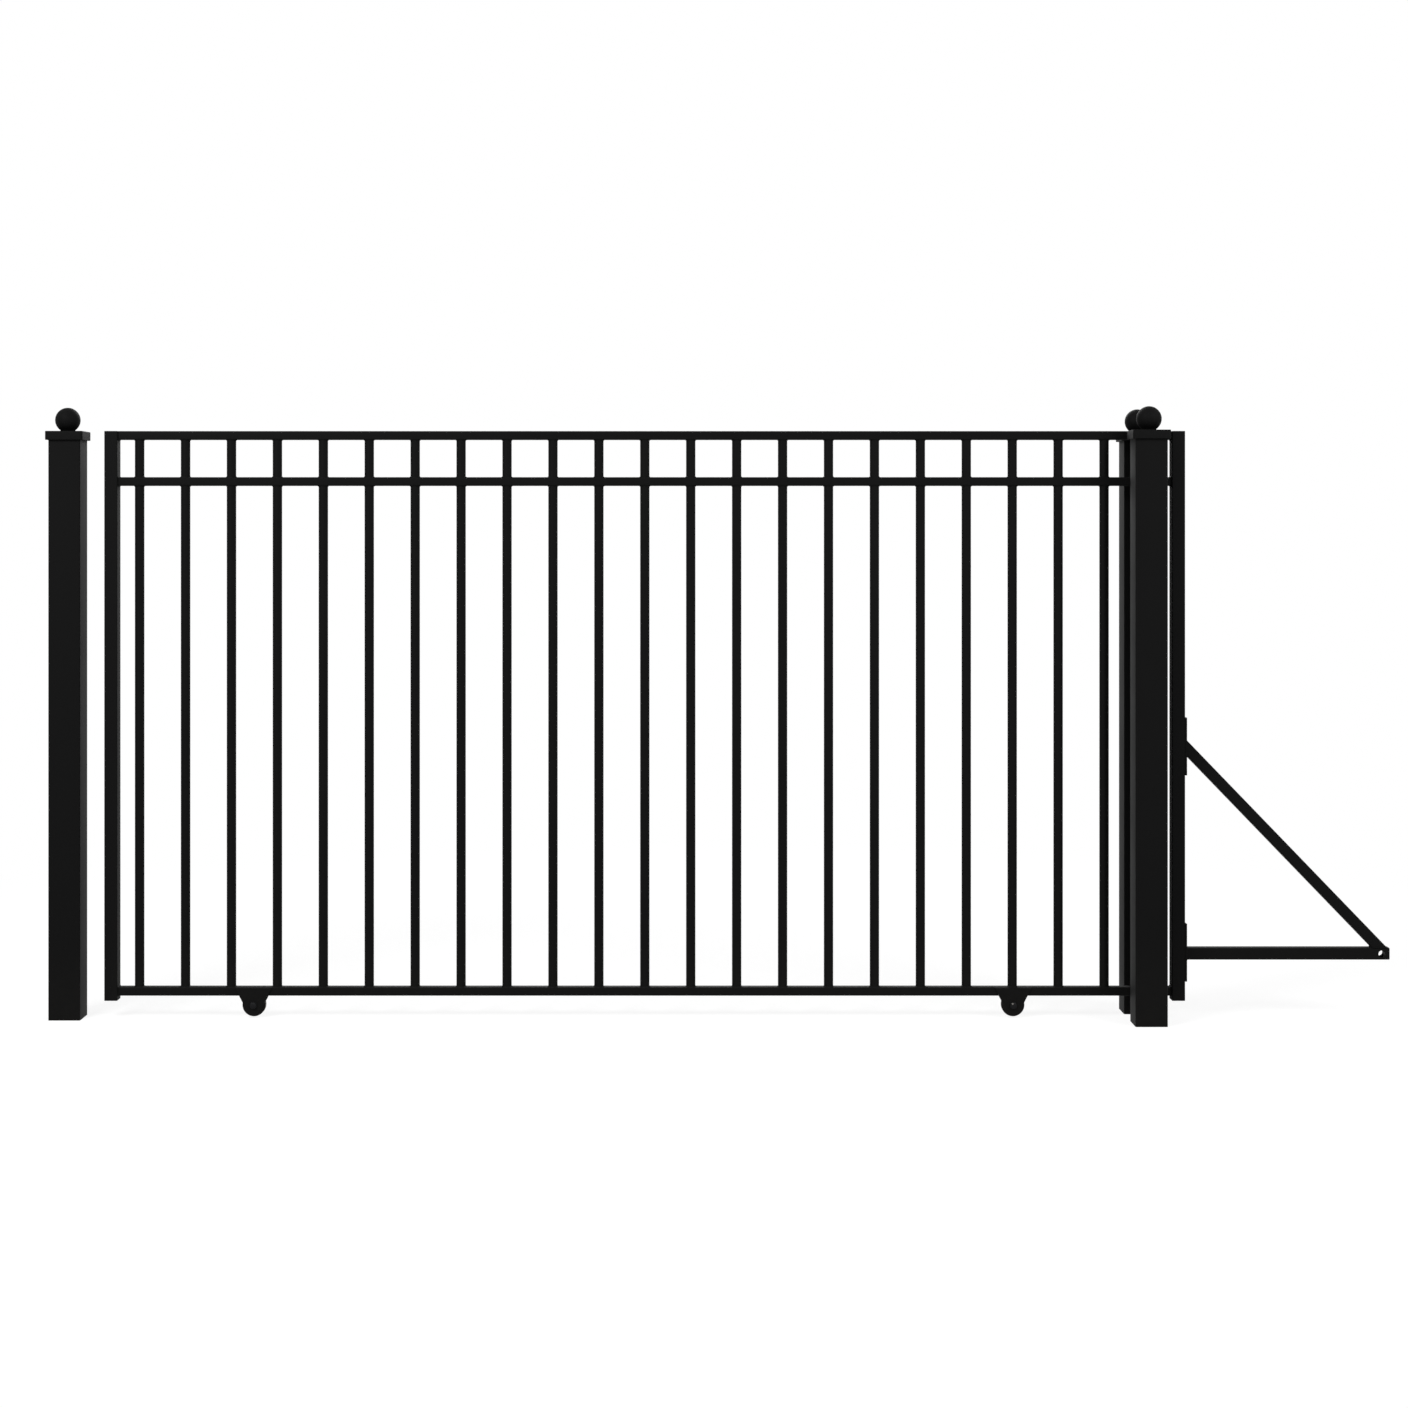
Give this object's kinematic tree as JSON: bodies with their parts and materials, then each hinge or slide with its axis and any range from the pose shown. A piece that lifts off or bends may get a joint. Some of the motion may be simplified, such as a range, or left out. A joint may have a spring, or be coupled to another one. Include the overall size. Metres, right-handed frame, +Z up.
{
  "type": "sliding driveway gate",
  "caption": "Black steel picket gate leaf on grooved wheels, with a braced tail, sliding between guide posts; ball-capped posts.",
  "frame": {"origin": "middle of the latch post's foot, on the ground", "axes": "+X along the leaf, from the latch post to the guide posts and the way the leaf opens; +Y away from the side pictured; +Z up"},
  "size_m": [4.309, 0.334, 1.9625],
  "materials": {
    "powder_coat": "satin black powder coat",
    "cap_casting": "satin black powder coat on a casting",
    "wheel_steel": "turned steel, blackened, bright in the groove",
    "bolt_steel": "black zinc plate, dulled",
    "black_plastic": "moulded black polyethylene",
    "black_nylon": "turned black nylon"
  },
  "bodies": {
    "posts": {"latch_post": "powder_coat", "front_guide_post": "powder_coat", "rear_guide_post": "powder_coat", "post_caps": "cap_casting", "front_guide_bracket": "powder_coat", "front_guide_roller": "black_nylon", "front_guide_pin": "bolt_steel", "rear_guide_bracket": "powder_coat", "rear_guide_roller": "black_nylon", "rear_guide_pin": "bolt_steel"},
    "leaf": {"leading_upright": "powder_coat", "trailing_upright": "powder_coat", "top_rail": "powder_coat", "middle_rail": "powder_coat", "bottom_rail": "powder_coat", "upper_pickets": "powder_coat", "lower_pickets": "powder_coat", "upright_end_plugs": "black_plastic", "leading_wheel_bracket": "powder_coat", "trailing_wheel_bracket": "powder_coat", "leading_wheel_axle": "bolt_steel", "trailing_wheel_axle": "bolt_steel", "tail_upper_plate": "powder_coat", "tail_lower_plate": "powder_coat", "tail_bar": "powder_coat", "tail_brace": "powder_coat", "tail_end_plug": "black_plastic"},
    "leading_wheel": {"leading_wheel": "wheel_steel"},
    "trailing_wheel": {"trailing_wheel": "wheel_steel"}
  },
  "joints": [
    {"name": "gate_slide", "type": "slide", "parent": "posts", "child": "leaf", "axis": [1, 0, 0], "range_m": [0, 3.25]},
    {"name": "leading_wheel_spin", "type": "hinge", "parent": "leaf", "child": "leading_wheel", "pos_m": [0.6005, 0, 0.043], "axis": [0, 1, 0], "continuous": true},
    {"name": "trailing_wheel_spin", "type": "hinge", "parent": "leaf", "child": "trailing_wheel", "pos_m": [3.0403, 0, 0.043], "axis": [0, 1, 0], "continuous": true}
  ],
  "couplings": [
    {"joint": "leading_wheel_spin", "follows": "gate_slide", "rad_per_m": 29.851},
    {"joint": "trailing_wheel_spin", "follows": "gate_slide", "rad_per_m": 29.851}
  ]
}
